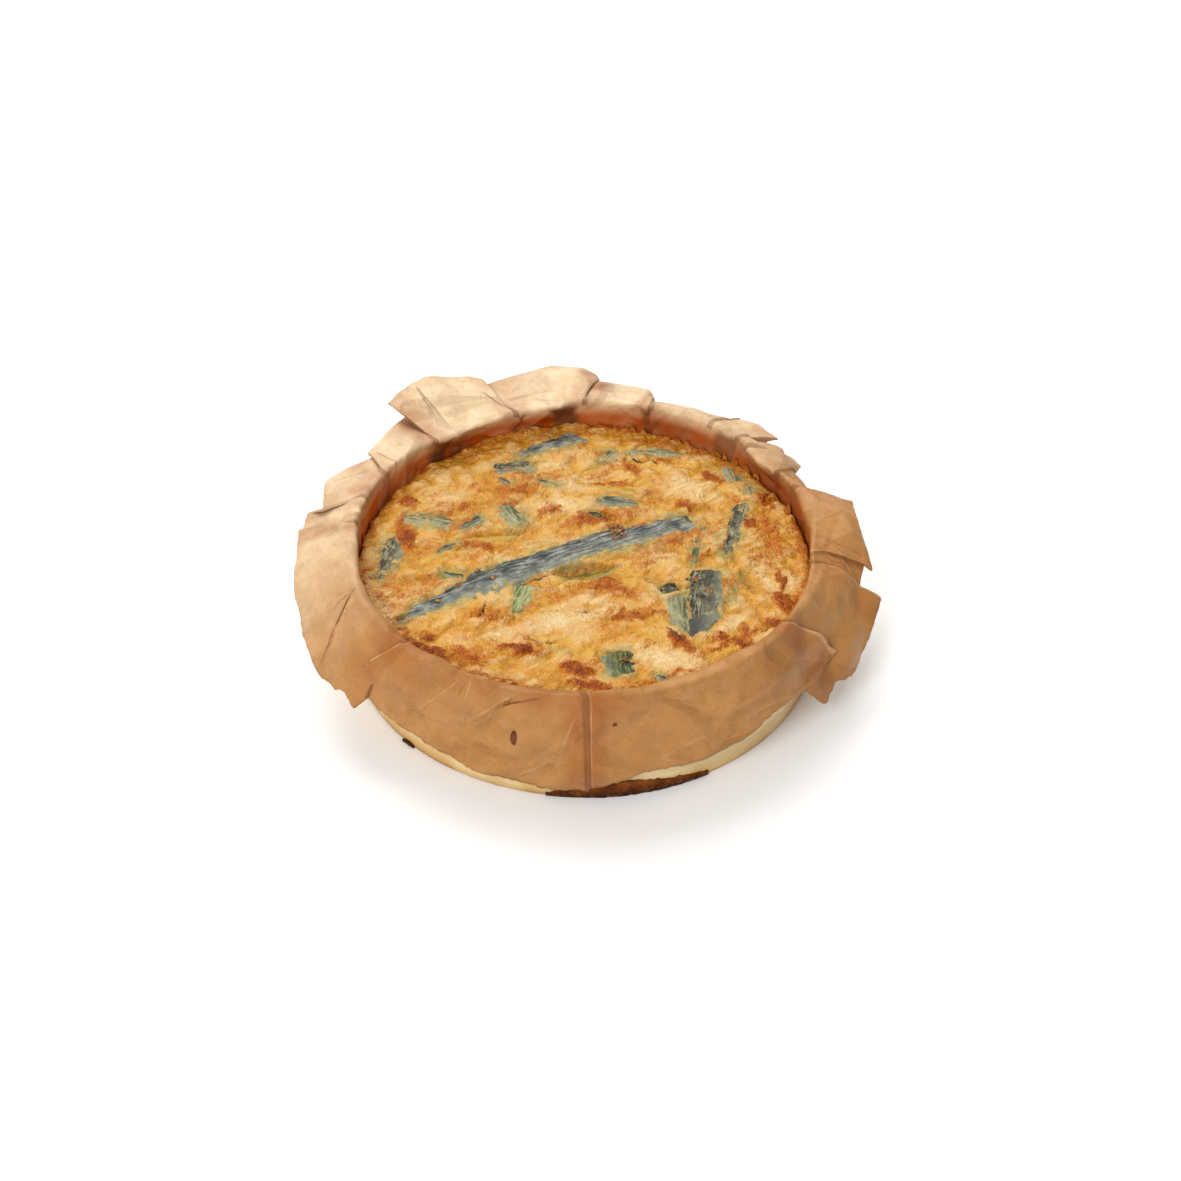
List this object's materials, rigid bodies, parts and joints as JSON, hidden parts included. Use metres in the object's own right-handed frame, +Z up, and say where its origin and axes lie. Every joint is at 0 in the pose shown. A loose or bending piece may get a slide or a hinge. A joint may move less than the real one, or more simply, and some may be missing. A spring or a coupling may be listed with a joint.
{
  "type": "leek quiche",
  "caption": "Deep round leek quiche with a browned top, baked in a thin wood mould lined with pleated brown baking paper that folds out over the rim",
  "frame": {"origin": "middle of the mould's flat underside", "axes": "Z up, -Y to the front where the paper is slit, X to the right"},
  "size_m": [0.2219, 0.2038, 0.0558],
  "materials": {
    "wood": "raw, pale",
    "paper": "satin, oiled in places",
    "custard": "baked egg and cheese, glossy where brown",
    "leek": "cooked leaf, damp",
    "crust": "baked dry"
  },
  "bodies": {
    "root": {"baked_spill": "crust", "filling": "custard", "leek_back_dark": "leek", "leek_back_fold": "leek", "leek_back_green": "leek", "leek_back_left": "leek", "leek_back_right": "leek", "leek_back_sliver": "leek", "leek_blue_chip": "leek", "leek_broad_left": "leek", "leek_broad_right": "leek", "leek_centre_chip": "leek", "leek_centre_leaf": "leek", "leek_crescent": "leek", "leek_dark_chip": "leek", "leek_front_chip": "leek", "leek_front_square": "leek", "leek_grey_band": "leek", "leek_grey_leaf": "leek", "leek_left_crescent": "leek", "leek_left_dark": "leek", "leek_left_green": "leek", "leek_left_sliver": "leek", "leek_long_strip": "leek", "leek_olive_strip": "leek", "leek_right_back": "leek", "leek_right_chip": "leek", "leek_right_strip": "leek", "leek_small_leaf": "leek", "leek_thin_edge": "leek", "paper_liner": "paper", "wood_mould": "wood"}
  },
  "joints": []
}
